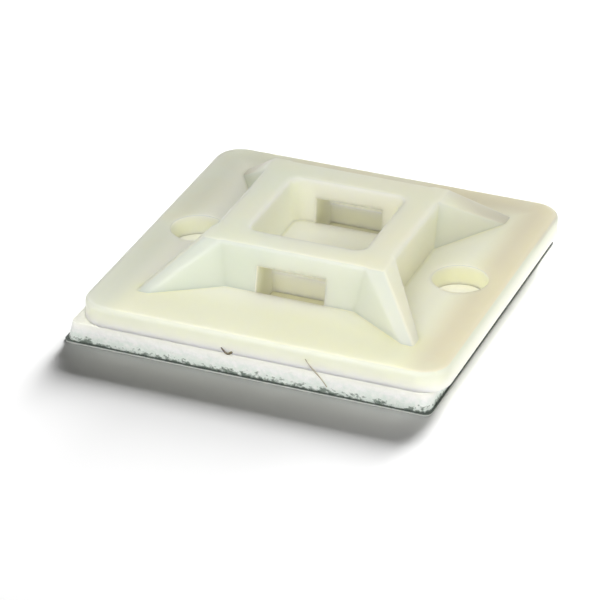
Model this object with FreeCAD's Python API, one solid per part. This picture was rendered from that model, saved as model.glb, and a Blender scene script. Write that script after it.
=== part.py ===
import FreeCAD, Part
import math
import os

# Self-adhesive cable tie mount: a moulded nylon plate with a hollow frame, stuck on a foam pad with its liner.
# Millimetres. X runs across the tie slots, Y along the tie's path, Z up.
# The origin is on the liner's underside, below the centre of the nylon plate.

# Nylon plate
PLATE_SIDE = 28.0
PLATE_THICKNESS = 1.6
PLATE_CORNER_RADIUS = 2.1
PLATE_EDGE_RADIUS = 0.35

# Foam pad, cut to the plate's size, and release liner
FOAM_THICKNESS = 1.6
FOAM_CORNER_RADIUS = 0.4
FOAM_SHIFT_X = -0.9
LINER_THICKNESS = 0.15
LINER_MARGIN = 0.15

# Hollow frame on the plate: the well in its middle, the bars round the well and the foot of its slopes
FRAME_HEIGHT = 3.4
WELL_SIZE_X = 9.0
WELL_SIZE_Y = 9.1
WELL_CORNER_RADIUS = 0.8
SIDE_BAR_WIDTH = 2.5
END_BAR_WIDTH = 2.35
PLATE_RIM_WIDTH = 3.3
FRAME_EDGE_RADIUS = 0.3
END_WALL_DRAFT = 11.0
SIDE_WALL_DRAFT = 1.0
WELL_DRAFT = 5.0

# Four wings run from the frame's corners to the corners of its foot.
# Each has a face towards an end recess and a face towards a side recess, and both spread towards the plate.
# The widths are how far a wing reaches from its corner: at the frame's top, at the foot of the slope,
# and on the plate at the wall of the recess.
WING_TOP_ALONG_END = 1.4
WING_FOOT_ALONG_END = 0.9
WING_BASE_ALONG_END = 2.0
WING_TOP_ALONG_SIDE = 2.2
WING_FOOT_ALONG_SIDE = 1.2
WING_BASE_ALONG_SIDE = 3.3

# Tie slots through the front and back walls
SLOT_WIDTH = 5.3
SLOT_HEIGHT = 1.95

# Screw holes in the floors of the side recesses
SCREW_HOLE_RADIUS = 2.1
SCREW_HOLE_FROM_EDGE = 3.6

# Levels
FOAM_BOTTOM = LINER_THICKNESS
PLATE_BOTTOM = FOAM_BOTTOM + FOAM_THICKNESS
PLATE_TOP = PLATE_BOTTOM + PLATE_THICKNESS
FRAME_TOP = PLATE_TOP + FRAME_HEIGHT

# Half sizes of the frame in plan
RING_HALF_X = WELL_SIZE_X / 2 + SIDE_BAR_WIDTH
RING_HALF_Y = WELL_SIZE_Y / 2 + END_BAR_WIDTH
FOOT_HALF = PLATE_SIDE / 2 - PLATE_RIM_WIDTH
# Distance of each screw hole from the middle
SCREW_HOLE_X = PLATE_SIDE / 2 - SCREW_HOLE_FROM_EDGE

# Largest share of a wing's foot that the rounding of one of its edges may take
LARGEST_ROUNDING = 0.45
# A quarter turn about the upright axis, in degrees
QUARTER_TURN = 90.0
# How far a cutting solid runs past the surface that it opens
OVERCUT = 1.0
# How near a point has to be to a level to count as lying on it
LEVEL_TOLERANCE = 1e-4


def vector(x, y, z):
    return FreeCAD.Vector(x, y, z)


def lean(height, draft):
    # Sideways run of a drafted wall over a height
    return height * math.tan(math.radians(draft))


def rounded_slab(side, radius, low, thickness, centre_x=0.0):
    # Square slab with rounded vertical corners
    slab = Part.makeBox(side, side, thickness, vector(centre_x - side / 2, -side / 2, low))
    uprights = [edge for edge in slab.Edges if abs(edge.tangentAt(edge.FirstParameter).z) > 0.5]
    return slab.makeFillet(radius, uprights)


def frustum(low_half_x, low_half_y, top_half_x, top_half_y, low, top):
    # Four-sided block whose walls slope straight from the low rectangle to the top one
    wedge = Part.makeWedge(
        -low_half_x, low, -low_half_y, -top_half_y, -top_half_x,
        low_half_x, top, low_half_y, top_half_y, top_half_x)
    wedge.rotate(vector(0, 0, 0), vector(1, 0, 0), 90)
    return wedge


def flat_sided(low_outline, high_outline, low, high):
    # Solid between two plan outlines whose sides are parallel, so that every wall is flat
    low_points = [vector(x, y, low) for x, y in low_outline]
    high_points = [vector(x, y, high) for x, y in high_outline]
    walls = []
    for index in range(len(low_points)):
        after = (index + 1) % len(low_points)
        walls.append([low_points[index], low_points[after], high_points[after], high_points[index]])
    faces = [Part.Face(Part.makePolygon(ring + ring[:1])) for ring in walls + [low_points, high_points]]
    solid = Part.makeSolid(Part.makeShell(faces))
    if solid.Volume < 0:
        solid.reverse()
    return solid


def turned(solid, angle):
    return solid.rotated(vector(0, 0, 0), vector(0, 0, 1), angle)


def nylon_plate():
    plate = rounded_slab(PLATE_SIDE, PLATE_CORNER_RADIUS, PLATE_BOTTOM, PLATE_THICKNESS)
    rim = [edge for edge in plate.Edges if edge.BoundBox.ZMin > PLATE_TOP - LEVEL_TOLERANCE]
    return plate.makeFillet(PLATE_EDGE_RADIUS, rim)


def recess(wall_distance, wall_draft, top_half, base_half, foot_half):
    # Space in front of a wall that faces -Y, between the faces of two wings.
    # Half its width: at the wall's top, at the wall's base, and at the foot of the slope.
    base_distance = wall_distance + lean(FRAME_HEIGHT, wall_draft)
    splay = (foot_half - base_half) / (FOOT_HALF - base_distance)
    rise = 1 + OVERCUT / FRAME_HEIGHT
    high_distance = base_distance + (wall_distance - base_distance) * rise
    high_half = base_half + (top_half - base_half) * rise
    end_distance = FOOT_HALF + OVERCUT
    outlines = []
    for distance, half in ((base_distance, base_half), (high_distance, high_half)):
        end_half = half + splay * (end_distance - distance)
        outlines.append([
            (-half, -distance), (half, -distance), (end_half, -end_distance), (-end_half, -end_distance)])
    return flat_sided(outlines[0], outlines[1], PLATE_TOP, FRAME_TOP + OVERCUT)


def recesses():
    end_recess = recess(
        RING_HALF_Y, END_WALL_DRAFT, RING_HALF_X - WING_TOP_ALONG_END,
        RING_HALF_X - WING_BASE_ALONG_END, FOOT_HALF - WING_FOOT_ALONG_END)
    side_recess = recess(
        RING_HALF_X, SIDE_WALL_DRAFT, RING_HALF_Y - WING_TOP_ALONG_SIDE,
        RING_HALF_Y - WING_BASE_ALONG_SIDE, FOOT_HALF - WING_FOOT_ALONG_SIDE)
    return [
        end_recess, turned(end_recess, 2 * QUARTER_TURN),
        turned(side_recess, QUARTER_TURN), turned(side_recess, -QUARTER_TURN)]


def well():
    # Opening of the frame, narrower at the plate than at the top
    inset = lean(FRAME_HEIGHT, WELL_DRAFT)
    flare = lean(OVERCUT, WELL_DRAFT)
    opening = frustum(
        WELL_SIZE_X / 2 - inset, WELL_SIZE_Y / 2 - inset,
        WELL_SIZE_X / 2 + flare, WELL_SIZE_Y / 2 + flare,
        PLATE_TOP, FRAME_TOP + OVERCUT)
    uprights = [edge for edge in opening.Edges if edge.BoundBox.ZLength > FRAME_HEIGHT]
    return opening.makeFillet(WELL_CORNER_RADIUS, uprights)


def screw_holes():
    depth = PLATE_THICKNESS + 2 * OVERCUT
    low = PLATE_BOTTOM - OVERCUT
    return [
        Part.makeCylinder(SCREW_HOLE_RADIUS, depth, vector(side * SCREW_HOLE_X, 0, low))
        for side in (-1, 1)]


def tie_slots():
    # One straight passage through both walls, resting on the plate
    length = 2 * FOOT_HALF
    return Part.makeBox(SLOT_WIDTH, length, SLOT_HEIGHT, vector(-SLOT_WIDTH / 2, -length / 2, PLATE_TOP))


def plate_windows():
    # Openings through the plate from foot to foot of both end walls: the mould forms the slots through them
    inner_foot = WELL_SIZE_Y / 2 - lean(FRAME_HEIGHT, WELL_DRAFT)
    outer_foot = RING_HALF_Y + lean(FRAME_HEIGHT, END_WALL_DRAFT)
    length = outer_foot - inner_foot
    low = PLATE_BOTTOM - OVERCUT
    depth = PLATE_TOP + SLOT_HEIGHT / 2 - low
    return [
        Part.makeBox(SLOT_WIDTH, length, depth, vector(-SLOT_WIDTH / 2, start, low))
        for start in (-outer_foot, inner_foot)]


def hollow_frame():
    frame = frustum(FOOT_HALF, FOOT_HALF, RING_HALF_X, RING_HALF_Y, PLATE_TOP, FRAME_TOP)
    frame = frame.cut(recesses() + [well()])
    moulded_edges = [edge for edge in frame.Edges if edge.BoundBox.ZMax > FRAME_TOP - LEVEL_TOLERANCE]
    narrowest = min(WING_FOOT_ALONG_END, WING_FOOT_ALONG_SIDE)
    radius = min(FRAME_EDGE_RADIUS, narrowest * LARGEST_ROUNDING)
    frame = frame.makeFillet(radius, moulded_edges)
    return frame.cut(tie_slots())


def mount_body():
    body = nylon_plate().fuse(hollow_frame()).removeSplitter()
    return body.cut(screw_holes() + plate_windows()).removeSplitter()


def foam_pad():
    return rounded_slab(PLATE_SIDE, FOAM_CORNER_RADIUS, FOAM_BOTTOM, FOAM_THICKNESS, FOAM_SHIFT_X)


def release_liner():
    side = PLATE_SIDE + 2 * LINER_MARGIN
    return rounded_slab(side, FOAM_CORNER_RADIUS + LINER_MARGIN, 0.0, LINER_THICKNESS, FOAM_SHIFT_X)


def main():
    os.makedirs("parts", exist_ok=True)
    nodes = {
        "mount_body": mount_body(),
        "foam_pad": foam_pad(),
        "release_liner": release_liner()}
    for name, shape in nodes.items():
        solid = shape.Solids[0]
        print(name, shape.isValid(), len(shape.Solids), round(solid.Volume, 3), solid.BoundBox)
        shape.exportStep(f"parts/{name}.step")


main()
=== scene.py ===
import math

import bpy
from mathutils import Matrix, Vector, noise


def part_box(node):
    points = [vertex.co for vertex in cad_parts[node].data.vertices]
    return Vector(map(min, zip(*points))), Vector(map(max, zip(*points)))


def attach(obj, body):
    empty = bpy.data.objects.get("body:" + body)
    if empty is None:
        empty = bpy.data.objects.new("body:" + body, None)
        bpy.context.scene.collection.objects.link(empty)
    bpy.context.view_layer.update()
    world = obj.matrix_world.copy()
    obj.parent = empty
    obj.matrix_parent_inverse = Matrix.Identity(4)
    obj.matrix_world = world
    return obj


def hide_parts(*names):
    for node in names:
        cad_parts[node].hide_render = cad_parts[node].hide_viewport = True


MM = 0.001
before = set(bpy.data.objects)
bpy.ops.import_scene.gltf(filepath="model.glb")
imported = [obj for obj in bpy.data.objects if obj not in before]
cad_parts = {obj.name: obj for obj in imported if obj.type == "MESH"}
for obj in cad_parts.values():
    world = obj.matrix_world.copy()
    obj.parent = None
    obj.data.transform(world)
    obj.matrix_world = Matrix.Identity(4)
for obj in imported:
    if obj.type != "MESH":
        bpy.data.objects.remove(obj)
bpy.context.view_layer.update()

# Camera, as fitted to the photograph: angles in radians, lengths in millimetres.
# The fit's origin is below the centre of the plate, at the level of its underside.
CAMERA_AZIMUTH = 0.3759
CAMERA_ELEVATION = 0.5056
CAMERA_ROLL = 0.0075
CAMERA_DISTANCE = 250.03
CAMERA_OFFSET_RIGHT = -2.02
CAMERA_OFFSET_UP = -2.07
CAMERA_LENS = 201.86
CAMERA_SENSOR = 36.0
PLATE_UNDERSIDE = 1.75
# Nearest and farthest that the camera sees, in metres
CLIP_START = 0.01
CLIP_END = 10.0

# Strength of the white world as a light; seen directly or mirrored, it has its full strength
WORLD_STRENGTH = 0.08

# Floor, in metres: half its side, and how far it lies below the liner
FLOOR_HALF = 3.0
FLOOR_DROP = 0.00002

# Lamps: name, place, target, width and height in metres, power in watts.
# The lamp "shade" stands behind the object and casts its shadow to the front.
# The lamp "shade_fill" lightens the right part of that shadow.
FLOOR_LAMPS = (
    ("shade", (0.035, 0.36, 0.18), (0, 0, 0), (0.13, 0.20), 5.0),
    ("shade_fill", (0.032, -0.033, 0.012), (0.016, -0.020, 0), (0.012, 0.012), 0.0022))
OBJECT_LAMPS = (
    ("overhead", (0.0, 0.02, 0.40), (0, 0, 0), (0.5, 0.5), 0.55),
    ("front", (0.005, -0.073, 0.062), (0, -0.014, 0.003), (0.07, 0.07), 0.039),
    ("low_front", (0.001, -0.044, 0.018), (0, -0.014, 0.002), (0.02, 0.02), 0.0042),
    ("right", (0.24, 0.0, 0.18), (0, 0, 0), (0.15, 0.15), 0.20),
    ("rear", (-0.03, 0.27, 0.12), (0, 0, 0), (0.05, 0.05), 0.07))

# Foam pad, lengths in millimetres
FOAM_RING_POINTS = 1500
FOAM_LEVELS = 18
FOAM_CORNER = 0.7
FOAM_CLEARANCE = 0.004
# How far the left side leans in from its foot to its top
FOAM_LEFT_SLOPE = 0.5
# Depth of the deepest pits in the cut edge, and its shares: one that is even and three from noises
FOAM_RAGGED = 0.10
FOAM_EVEN_SHARE = 0.2
FOAM_COARSE_SHARE = 0.2
FOAM_FINE_SHARE = 0.3
FOAM_CELL_SHARE = 0.35
# Noise cells per millimetre
FOAM_COARSE_SCALE = 0.9
FOAM_FINE_SCALE = 4.5
FOAM_CELL_SCALE = 11
# Share of the depth by which the edge bulges half way up, and how steeply the pits end below the plate
FOAM_BELLY = 0.35
FOAM_FLUSH_TOP = 6

# Two lint fibres that cling to the front edge: points of their routes and radii, in millimetres
LINT_SHORT = (
    (-2.63, -14.04, 2.16), (-2.42, -14.06, 1.92), (-2.17, -14.06, 1.74), (-1.93, -14.05, 1.80),
    (-1.80, -14.05, 1.96))
LINT_SHORT_RADII = (0.04, 0.06, 0.07, 0.09, 0.08)
LINT_LONG = (
    (3.80, -14.03, 2.62), (4.08, -14.07, 2.24), (4.42, -14.05, 1.86), (4.82, -14.07, 1.52),
    (5.16, -14.05, 1.14), (5.48, -14.04, 0.70))
LINT_LONG_RADII = (0.03, 0.04, 0.045, 0.045, 0.04, 0.03)

# Noise cells per metre in the materials
NYLON_CLOUDS = 150
NYLON_WAVES = 420
NYLON_GRAIN = 1700
NYLON_GLOSS = 900
FOAM_GRAIN = 3600
FOAM_MOTTLE = 2300
FOAM_PATCHES = 750
PAPER_FIBRES = 2600
LINT_FLECKS = 3000
FLOOR_CLOUDS = 30
# Most values of a noise lie between these
NOISE_SPREAD = (0.3, 0.7)
# Values between which the warm clouds with painted light and shade, the flecks of the lint and the dark
# specks in the foam set in
WARMTH_SPREAD = (0.25, 0.75)
FLECK_SPREAD = (0.35, 0.65)
DARK_SPECK_SPREAD = (0.0, 0.16)

# Where the tones change. Each pair says where a mask is nought and where it is one.
# Lengths are metres from the middle of the plate, or up from the liner's underside.
# What a surface is turned to is a component of its direction.
PLATE_HALF = 0.014
BORDER = (0.0100, 0.0125)
AT_PLATE_EDGE = (0.0130, 0.0134)
PLATE_EDGE_RISE = (0.0020, 0.0032)
BELOW_PLATE_TOP = (0.00334, 0.00328)
ON_PLATE_TOP = (0.00360, 0.00345)
IN_WELL = (0.0047, 0.0046)
FRONT_HALF = (0.0, -0.004)
FRONT_RECESS = (-0.0075, -0.0105)
BACK_WINGS = (0.006, 0.008)
TURNED_UP = (0.75, 0.97)
TURNED_PARTLY_UP = (0.3, 0.6)
TURNED_FRONT = (-0.1, -0.6)
SLOT_INNER_MOUTH = (0.00415, 0.00425)
SLOT_OUTER_MOUTH = (0.00770, 0.00760)
SLOT_SIDE = (0.00272, 0.00268)
SLOT_TOP = (0.00534, 0.00530)
SOFT_EDGE_RISE = (0.0023, 0.0026)
GLOW_RISE = (0.0022, 0.0034)
DARK_SPECK_RISE = (0.00015, 0.0010)
PALE_FOAM_RISE = (0.0003, 0.0015)
CREAM_FOAM_RISE = (0.0011, 0.0017)
WINDOW_SIDE = (0.0030, 0.0028)
WINDOW_END = (0.0098, 0.0092)
LINER_DARK_TOP_RISE = (0.00012, 0.00015)

# How much warmer the nylon's tones get towards the right and the back: painted light and shade, paler on
# the right-hand walls and browner on the border towards the back right
WARMER_RIGHT_PAINTED_LIGHT = 0.28
WARMER_BACK_PAINTED_SHADE = 0.12
# Radius of the rounding that the shading gives to the nylon's edges, in metres
SOFT_EDGE_RADIUS = 0.0004


def camera_axes():
    # Right, up and backwards as the camera sees them
    ca, sa = math.cos(CAMERA_AZIMUTH), math.sin(CAMERA_AZIMUTH)
    ce, se = math.cos(CAMERA_ELEVATION), math.sin(CAMERA_ELEVATION)
    back = Vector((sa * ce, -ca * ce, se))
    right = Vector((ca, sa, 0))
    up = back.cross(right)
    c, s = math.cos(CAMERA_ROLL), math.sin(CAMERA_ROLL)
    return c * right + s * up, -s * right + c * up, back


def add_camera():
    right, up, back = camera_axes()
    place = CAMERA_OFFSET_RIGHT * right + CAMERA_OFFSET_UP * up + CAMERA_DISTANCE * back
    place.z += PLATE_UNDERSIDE
    data = bpy.data.cameras.new("view")
    data.lens = CAMERA_LENS
    data.sensor_width = CAMERA_SENSOR
    data.clip_start = CLIP_START
    data.clip_end = CLIP_END
    camera = bpy.data.objects.new("view", data)
    turn = Matrix((right, up, back)).transposed().to_4x4()
    camera.matrix_world = Matrix.Translation(place * MM) @ turn
    bpy.context.scene.collection.objects.link(camera)
    bpy.context.scene.camera = camera


def new_object(name, mesh):
    piece = bpy.data.objects.new(name, mesh)
    bpy.context.scene.collection.objects.link(piece)
    return piece


class Nodes:
    # Node tree of one new material; each method adds a node and returns what it puts out
    def __init__(self, name):
        self.material = bpy.data.materials.new(name)
        self.material.use_nodes = True
        self.tree = self.material.node_tree
        self.tree.nodes.clear()
        self.output = self.tree.nodes.new("ShaderNodeOutputMaterial")
        self.place = None

    def add(self, kind, **settings):
        node = self.tree.nodes.new(kind)
        for key, value in settings.items():
            setattr(node, key, value)
        return node

    def link(self, source, target):
        self.tree.links.new(source, target)

    def position(self):
        if self.place is None:
            self.place = self.add("ShaderNodeTexCoord").outputs["Object"]
        return self.place

    def split(self, vector):
        node = self.add("ShaderNodeSeparateXYZ")
        self.link(vector, node.inputs["Vector"])
        return [node.outputs[axis] for axis in "XYZ"]

    def noise(self, scale, detail=3.0, roughness=0.5, stretch=None):
        node = self.add("ShaderNodeTexNoise")
        node.inputs["Scale"].default_value = scale
        node.inputs["Detail"].default_value = detail
        node.inputs["Roughness"].default_value = roughness
        position = self.position()
        if stretch:
            mapping = self.add("ShaderNodeMapping")
            mapping.inputs["Scale"].default_value = stretch
            self.link(position, mapping.inputs["Vector"])
            position = mapping.outputs["Vector"]
        self.link(position, node.inputs["Vector"])
        return node.outputs["Fac"]

    def span(self, value, low, high, out_low=0.0, out_high=1.0, smooth=False):
        # The value carried from one range to another and held at its ends
        node = self.add("ShaderNodeMapRange")
        node.interpolation_type = "SMOOTHSTEP" if smooth else "LINEAR"
        node.inputs["From Min"].default_value = low
        node.inputs["From Max"].default_value = high
        node.inputs["To Min"].default_value = out_low
        node.inputs["To Max"].default_value = out_high
        self.link(value, node.inputs["Value"])
        return node.outputs["Result"]

    def math(self, operation, first, second=None):
        node = self.add("ShaderNodeMath", operation=operation)
        for socket, value in zip(node.inputs, (first, second)):
            if value is not None:
                self.link(value, socket)
        return node.outputs["Value"]

    def product(self, first, *others):
        for other in others:
            first = self.math("MULTIPLY", first, other)
        return first

    def mix(self, factor, first, second):
        # Colours, each a linear tuple or a socket
        node = self.add("ShaderNodeMix", data_type="RGBA")
        colour_inputs = [socket for socket in node.inputs if socket.type == "RGBA"]
        self.link(factor, node.inputs[0])
        for socket, value in zip(colour_inputs, (first, second)):
            if isinstance(value, tuple):
                socket.default_value = (*value, 1.0)
            else:
                self.link(value, socket)
        return next(socket for socket in node.outputs if socket.type == "RGBA")

    def mix_normals(self, factor, first, second):
        node = self.add("ShaderNodeMix", data_type="VECTOR")
        self.link(factor, node.inputs["Factor"])
        # The first vector input is a factor for each component
        vector_inputs = [socket for socket in node.inputs if socket.type == "VECTOR"][-2:]
        for socket, value in zip(vector_inputs, (first, second)):
            self.link(value, socket)
        return next(socket for socket in node.outputs if socket.type == "VECTOR")

    def bump(self, height, distance, strength, normal=None):
        node = self.add("ShaderNodeBump")
        node.inputs["Distance"].default_value = distance
        node.inputs["Strength"].default_value = strength
        self.link(height, node.inputs["Height"])
        if normal:
            self.link(normal, node.inputs["Normal"])
        return node.outputs["Normal"]

    def principled(self, colour, roughness, normal=None, **constants):
        shader = self.add("ShaderNodeBsdfPrincipled")
        for key, value in constants.items():
            shader.inputs[key.replace("_", " ")].default_value = value
        self.link(colour, shader.inputs["Base Color"])
        if isinstance(roughness, float):
            shader.inputs["Roughness"].default_value = roughness
        else:
            self.link(roughness, shader.inputs["Roughness"])
        if normal:
            self.link(normal, shader.inputs["Normal"])
        self.link(shader.outputs["BSDF"], self.output.inputs["Surface"])
        return shader


def linear(red, green, blue):
    # Bytes of the sRGB standard to linear colour
    def one(value):
        value /= 255
        return value / 12.92 if value <= 0.04045 else ((value + 0.055) / 1.055) ** 2.4
    return one(red), one(green), one(blue)


def nylon_material():
    n = Nodes("natural_nylon")
    right, back, height = n.split(n.position())
    surface = n.add("ShaderNodeNewGeometry").outputs["Normal"]
    _, turned_back, turned_up = n.split(surface)
    from_middle_x, from_middle_y = n.math("ABSOLUTE", right), n.math("ABSOLUTE", back)
    from_middle = n.math("MAXIMUM", from_middle_x, from_middle_y)

    # Cool and warm clouds in the nylon, and a drift of painted light and shade that makes it warmer
    # towards the right and the back
    painted_light_drift = n.math(
        "ADD", n.span(right, -PLATE_HALF, PLATE_HALF, -WARMER_RIGHT_PAINTED_LIGHT, WARMER_RIGHT_PAINTED_LIGHT),
        n.span(back, -PLATE_HALF, PLATE_HALF, -WARMER_BACK_PAINTED_SHADE, WARMER_BACK_PAINTED_SHADE))
    warmth_and_painted_light = n.span(n.math("ADD", n.noise(NYLON_CLOUDS), painted_light_drift), *WARMTH_SPREAD)

    def clouded_and_painted_light(cool, warm):
        return n.mix(warmth_and_painted_light, linear(*cool), linear(*warm))

    # Walls above the plate, with painted shade and painted light: darker where they face the front,
    # mostly so in the front half, and paler inside the well
    front = clouded_and_painted_light((215, 221, 208), (220, 223, 209))
    side = clouded_and_painted_light((232, 236, 215), (238, 236, 212))
    well_painted_light = clouded_and_painted_light((240, 242, 226), (244, 241, 223))
    front_facing_painted_shade = n.product(
        n.span(turned_back, *TURNED_FRONT, smooth=True), n.span(back, *FRONT_HALF, out_low=0.65))
    high_wall = n.mix(n.span(from_middle, *IN_WELL), n.mix(front_facing_painted_shade, side, front), well_painted_light)
    # Walls of the plate: its edge, and inside the holes and openings. Painted light: paler inside the
    # holes and openings, and the edge paler low down and darker towards the rim
    inner_painted_light = clouded_and_painted_light((251, 251, 225), (255, 251, 217))
    edge = n.mix(n.span(height, *PLATE_EDGE_RISE), linear(255, 255, 236), linear(224, 227, 205))
    low_wall = n.mix(n.span(from_middle, *AT_PLATE_EDGE), inner_painted_light, edge)
    wall = n.mix(n.span(height, *BELOW_PLATE_TOP), high_wall, low_wall)
    # Painted shade: the slopes of the back wings are darkened, so they are hardly darker or paler than
    # the plate behind them
    back_wing_painted_shade = n.product(n.span(back, *BACK_WINGS), n.span(turned_up, *TURNED_PARTLY_UP))
    wall = n.mix(back_wing_painted_shade, wall, linear(219, 215, 194))

    # Level faces, with painted shade and painted light: the border of the plate is darker than the recess
    # floors, except at the front
    top = clouded_and_painted_light((234, 238, 217), (241, 238, 210))
    rim_painted_shade = clouded_and_painted_light((227, 230, 209), (229, 220, 188))
    front_floor = clouded_and_painted_light((250, 251, 212), (253, 249, 205))
    border_painted_shade = n.span(n.math("MAXIMUM", from_middle_x, back), *BORDER, smooth=True)
    recess_floor = n.mix(n.span(back, *FRONT_RECESS, smooth=True), inner_painted_light, front_floor)
    level = n.mix(n.span(height, *ON_PLATE_TOP), top, n.mix(border_painted_shade, recess_floor, rim_painted_shade))
    colour = n.mix(n.span(turned_up, *TURNED_UP, smooth=True), wall, level)

    # The tie slots get little light inside, so they are paler there than the walls round them
    passage = n.product(
        n.span(from_middle_y, *SLOT_INNER_MOUTH), n.span(from_middle_y, *SLOT_OUTER_MOUTH),
        n.span(from_middle_x, *SLOT_SIDE), n.span(height, *SLOT_TOP))
    colour = n.mix(passage, colour, linear(250, 247, 227))

    # The lower edge of the plate stays sharp where it meets the foam
    soft = n.add("ShaderNodeBevel", samples=4)
    soft.inputs["Radius"].default_value = SOFT_EDGE_RADIUS
    rounded = n.mix_normals(n.span(height, *SOFT_EDGE_RISE), surface, soft.outputs["Normal"])
    waves = n.bump(n.noise(NYLON_WAVES, detail=2.0), distance=0.00010, strength=0.2, normal=rounded)
    normal = n.bump(n.noise(NYLON_GRAIN, detail=2.0), distance=0.00001, strength=0.25, normal=waves)
    roughness = n.span(n.noise(NYLON_GLOSS), *NOISE_SPREAD, out_low=0.34, out_high=0.44)
    shader = n.principled(
        colour, roughness, normal,
        Subsurface_Weight=1.0, Subsurface_Radius=(1.0, 1.0, 0.85), IOR=1.5, Specular_IOR_Level=0.35)
    # The plate lies on the foam, so light goes less far in it than in the open frame
    reach = n.span(height, *GLOW_RISE, out_low=0.0006, out_high=0.0024)
    n.link(reach, shader.inputs["Subsurface Scale"])
    return n.material


def foam_material():
    n = Nodes("white_foam")
    right, back, height = n.split(n.position())
    grain = n.noise(FOAM_GRAIN, roughness=0.6, stretch=(0.8, 0.8, 1.1))
    patch = n.noise(FOAM_PATCHES, detail=2.0)
    mottle = n.noise(FOAM_MOTTLE, roughness=0.6)

    # Dark specks in the cells of the cut edge: dense just above the liner, sparse half way up
    reach = n.math("ADD", grain, n.span(patch, *NOISE_SPREAD, out_low=-0.11, out_high=0.11))
    least = n.span(height, *DARK_SPECK_RISE, out_low=0.38, out_high=0.78)
    dark_specks = n.span(n.math("SUBTRACT", reach, least), *DARK_SPECK_SPREAD)
    shade = n.mix(mottle, linear(84, 98, 90), linear(168, 178, 168))

    # Painted light: paler towards the top, and cream just below the plate
    painted_light_rise = n.span(height, *PALE_FOAM_RISE, out_low=-0.25, out_high=0.25)
    mottle_and_painted_light = n.span(n.math("ADD", mottle, painted_light_rise), *NOISE_SPREAD)
    base = n.mix(mottle_and_painted_light, linear(234, 243, 234), linear(255, 255, 250))
    base = n.mix(n.span(height, *CREAM_FOAM_RISE), base, linear(255, 255, 240))
    # Painted shade: tan where the foam shows through the openings below the slots
    across = n.span(n.math("ABSOLUTE", right), *WINDOW_SIDE)
    window_painted_shade = n.product(across, n.span(n.math("ABSOLUTE", back), *WINDOW_END))
    base = n.mix(window_painted_shade, base, linear(226, 224, 192))

    colour = n.mix(dark_specks, base, shade)
    normal = n.bump(n.math("ADD", grain, mottle), distance=0.00010, strength=0.5)
    n.principled(
        colour, roughness=0.85, normal=normal,
        Subsurface_Weight=0.35, Subsurface_Radius=(1.0, 1.0, 0.95), Subsurface_Scale=0.0004)
    return n.material


def liner_material():
    # Dark on top, pale paper in the cut edge
    n = Nodes("liner_paper")
    _, _, height = n.split(n.position())
    fibre = n.noise(PAPER_FIBRES, detail=4.0)
    edge = n.mix(fibre, linear(178, 182, 177), linear(214, 216, 210))
    dark = n.mix(fibre, linear(50, 58, 52), linear(96, 104, 97))
    colour = n.mix(n.span(height, *LINER_DARK_TOP_RISE), edge, dark)
    normal = n.bump(fibre, distance=0.00002, strength=0.4)
    n.principled(colour, roughness=0.6, normal=normal)
    return n.material


def lint_material(name, dark, pale):
    n = Nodes(name)
    colour = n.mix(n.span(n.noise(LINT_FLECKS), *FLECK_SPREAD), linear(*dark), linear(*pale))
    n.principled(colour, roughness=0.7)
    return n.material


def floor_material():
    n = Nodes("floor")
    colour = n.mix(n.noise(FLOOR_CLOUDS), (0.9, 0.9, 0.9), (0.93, 0.93, 0.93))
    n.principled(colour, roughness=0.9, Specular_IOR_Level=0.0)
    return n.material


def rounded_rectangle(low, high, radius, count):
    # Points evenly round a rectangle with rounded corners, with their outward directions
    (x0, y0), (x1, y1) = low, high
    corners = [
        (x1 - radius, y1 - radius, 0), (x0 + radius, y1 - radius, 90),
        (x0 + radius, y0 + radius, 180), (x1 - radius, y0 + radius, 270)]
    path = []
    for index, (cx, cy, start) in enumerate(corners):
        nx, ny, _ = corners[(index + 1) % 4]
        path.append(("arc", cx, cy, start, math.pi / 2 * radius))
        path.append(("line", cx, cy, start + 90, math.hypot(nx - cx, ny - cy)))
    total = sum(part[4] for part in path)
    points = []
    for step in range(count):
        along = total * step / count
        for kind, cx, cy, start, length in path:
            if along <= length:
                break
            along -= length
        angle = math.radians(start + 90 * along / length if kind == "arc" else start)
        out = Vector((math.cos(angle), math.sin(angle), 0))
        point = Vector((cx, cy, 0)) + out * radius
        if kind == "line":
            point += Vector((-out.y, out.x, 0)) * along
        points.append((point, out))
    return points


def edge_depth(spot, out, share):
    # How far a point of the cut edge lies inside the pad's outline, at its share of the pad's height
    coarse = noise.noise(spot * FOAM_COARSE_SCALE)
    fine = noise.noise(spot * FOAM_FINE_SCALE)
    cells = noise.noise(spot * FOAM_CELL_SCALE)
    inward = (
        FOAM_EVEN_SHARE + FOAM_COARSE_SHARE * coarse + FOAM_FINE_SHARE * fine
        + FOAM_CELL_SHARE * max(0, cells))
    # The cut edge bulges in the middle and pulls in where the adhesive holds it
    belly = FOAM_BELLY * (1 - (2 * share - 1) ** 2)
    depth = FOAM_RAGGED * min(1.0, max(0.0, inward - belly)) * min(1.0, FOAM_FLUSH_TOP * (1 - share))
    return depth + max(0.0, -out.x) * FOAM_LEFT_SLOPE * share


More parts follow.
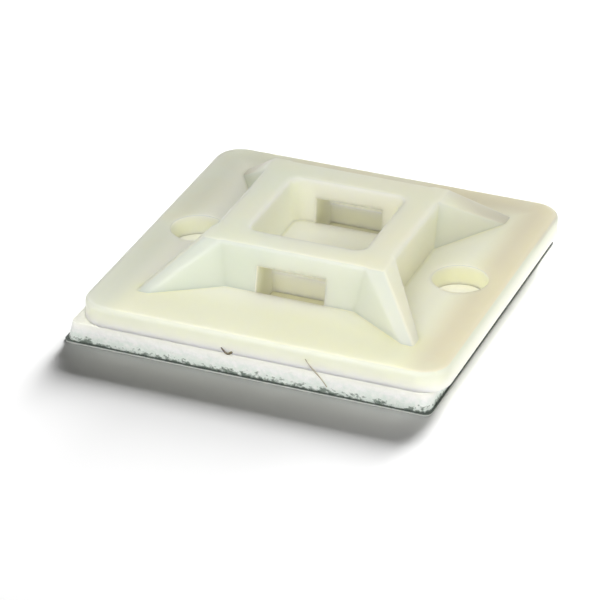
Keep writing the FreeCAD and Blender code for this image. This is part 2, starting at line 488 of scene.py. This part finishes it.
def foam_piece():
    low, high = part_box("foam_pad")
    ring = rounded_rectangle(
        (low[0] / MM, low[1] / MM), (high[0] / MM, high[1] / MM), FOAM_CORNER, FOAM_RING_POINTS)
    z_low, z_high = low[2] / MM, high[2] / MM - FOAM_CLEARANCE
    verts, faces = [], []
    for level in range(FOAM_LEVELS):
        share = level / (FOAM_LEVELS - 1)
        z = z_low + (z_high - z_low) * share
        for point, out in ring:
            spot = point + Vector((0, 0, z))
            verts.append((spot - out * edge_depth(spot, out, share)) * MM)
    count = len(ring)
    for level in range(FOAM_LEVELS - 1):
        for step in range(count):
            a = level * count + step
            b = level * count + (step + 1) % count
            faces.append((a, b, b + count, a + count))
    # Underside and top
    faces.append(tuple(reversed(range(count))))
    top = (FOAM_LEVELS - 1) * count
    faces.append(tuple(range(top, top + count)))
    mesh = bpy.data.meshes.new("foam_pad_cut")
    mesh.from_pydata(verts, [], faces)
    for polygon in mesh.polygons:
        polygon.use_smooth = len(polygon.vertices) == 4
    mesh.validate()
    piece = new_object("foam_pad_cut", mesh)
    piece.data.materials.append(foam_material())
    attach(piece, "root")
    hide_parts("foam_pad")
    return piece


def fibre_piece(name, route, radii, material):
    # Thin tube with tapered ends along a route of points; the bevel of 1 mm puts the radii in millimetres
    guide = bpy.data.curves.new(name + "_guide", "CURVE")
    guide.dimensions = "3D"
    guide.resolution_u = 6
    guide.bevel_depth = MM
    guide.bevel_resolution = 2
    guide.use_fill_caps = True
    line = guide.splines.new("NURBS")
    line.points.add(len(route) - 1)
    for point, spot, radius in zip(line.points, route, radii):
        point.co = (*(Vector(spot) * MM), 1.0)
        point.radius = radius
    line.order_u = 3
    line.use_endpoint_u = True
    helper = new_object(name + "_guide", guide)
    bpy.context.view_layer.update()
    mesh = bpy.data.meshes.new_from_object(helper.evaluated_get(bpy.context.evaluated_depsgraph_get()))
    bpy.data.objects.remove(helper)
    for polygon in mesh.polygons:
        polygon.use_smooth = True
    piece = new_object(name, mesh)
    piece.data.materials.clear()
    piece.data.materials.append(material)
    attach(piece, "root")
    return piece


def dress(name, material):
    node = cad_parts[name]
    node.data.materials.clear()
    node.data.materials.append(material)
    return node


def add_floor():
    mesh = bpy.data.meshes.new("floor")
    corners = [(x * FLOOR_HALF, y * FLOOR_HALF, 0) for x, y in ((-1, -1), (1, -1), (1, 1), (-1, 1))]
    mesh.from_pydata(corners, [], [(0, 1, 2, 3)])
    floor = new_object("floor", mesh)
    floor.location.z = -FLOOR_DROP
    floor.data.materials.append(floor_material())
    return floor


def add_world():
    world = bpy.data.worlds.new("studio")
    bpy.context.scene.world = world
    world.use_nodes = True
    tree = world.node_tree
    background = tree.nodes["Background"]
    background.inputs["Color"].default_value = (1, 1, 1, 1)
    ray = tree.nodes.new("ShaderNodeLightPath")
    seen = ray.outputs["Is Camera Ray"]
    for name in ("Is Glossy Ray", "Is Transmission Ray"):
        either = tree.nodes.new("ShaderNodeMath")
        either.operation = "MAXIMUM"
        tree.links.new(seen, either.inputs[0])
        tree.links.new(ray.outputs[name], either.inputs[1])
        seen = either.outputs["Value"]
    strength = tree.nodes.new("ShaderNodeMapRange")
    strength.inputs["To Min"].default_value = WORLD_STRENGTH
    strength.inputs["To Max"].default_value = 1.0
    tree.links.new(seen, strength.inputs["Value"])
    tree.links.new(strength.outputs["Result"], background.inputs["Strength"])


def area_light(name, place, target, size, power, receivers):
    data = bpy.data.lights.new(name, "AREA")
    data.energy = power
    data.shape = "RECTANGLE"
    data.size, data.size_y = size
    lamp = bpy.data.objects.new(name, data)
    lamp.location = place
    lamp.rotation_euler = (Vector(target) - Vector(place)).to_track_quat("-Z", "Y").to_euler()
    lamp.visible_camera = False
    bpy.context.scene.collection.objects.link(lamp)
    lamp.light_linking.receiver_collection = receivers


def light_only(name, pieces, lamps):
    # Lamps that light these pieces and nothing else
    receivers = bpy.data.collections.new(name)
    for piece in pieces:
        receivers.objects.link(piece)
    for lamp in lamps:
        area_light(*lamp, receivers)


add_camera()
floor = add_floor()
add_world()

plate = dress("mount_body", nylon_material())
liner = dress("release_liner", liner_material())
foam = foam_piece()

brown_lint = lint_material("brown_lint", (92, 84, 62), (138, 128, 98))
pale_lint = lint_material("pale_lint", (160, 152, 128), (196, 190, 168))
fibres = [
    fibre_piece("lint_short", LINT_SHORT, LINT_SHORT_RADII, brown_lint),
    fibre_piece("lint_long", LINT_LONG, LINT_LONG_RADII, pale_lint)]

light_only("floor_only", [floor], FLOOR_LAMPS)
light_only("object_only", [plate, liner, foam, *fibres], OBJECT_LAMPS)

bpy.context.scene.view_settings.view_transform = "Standard"
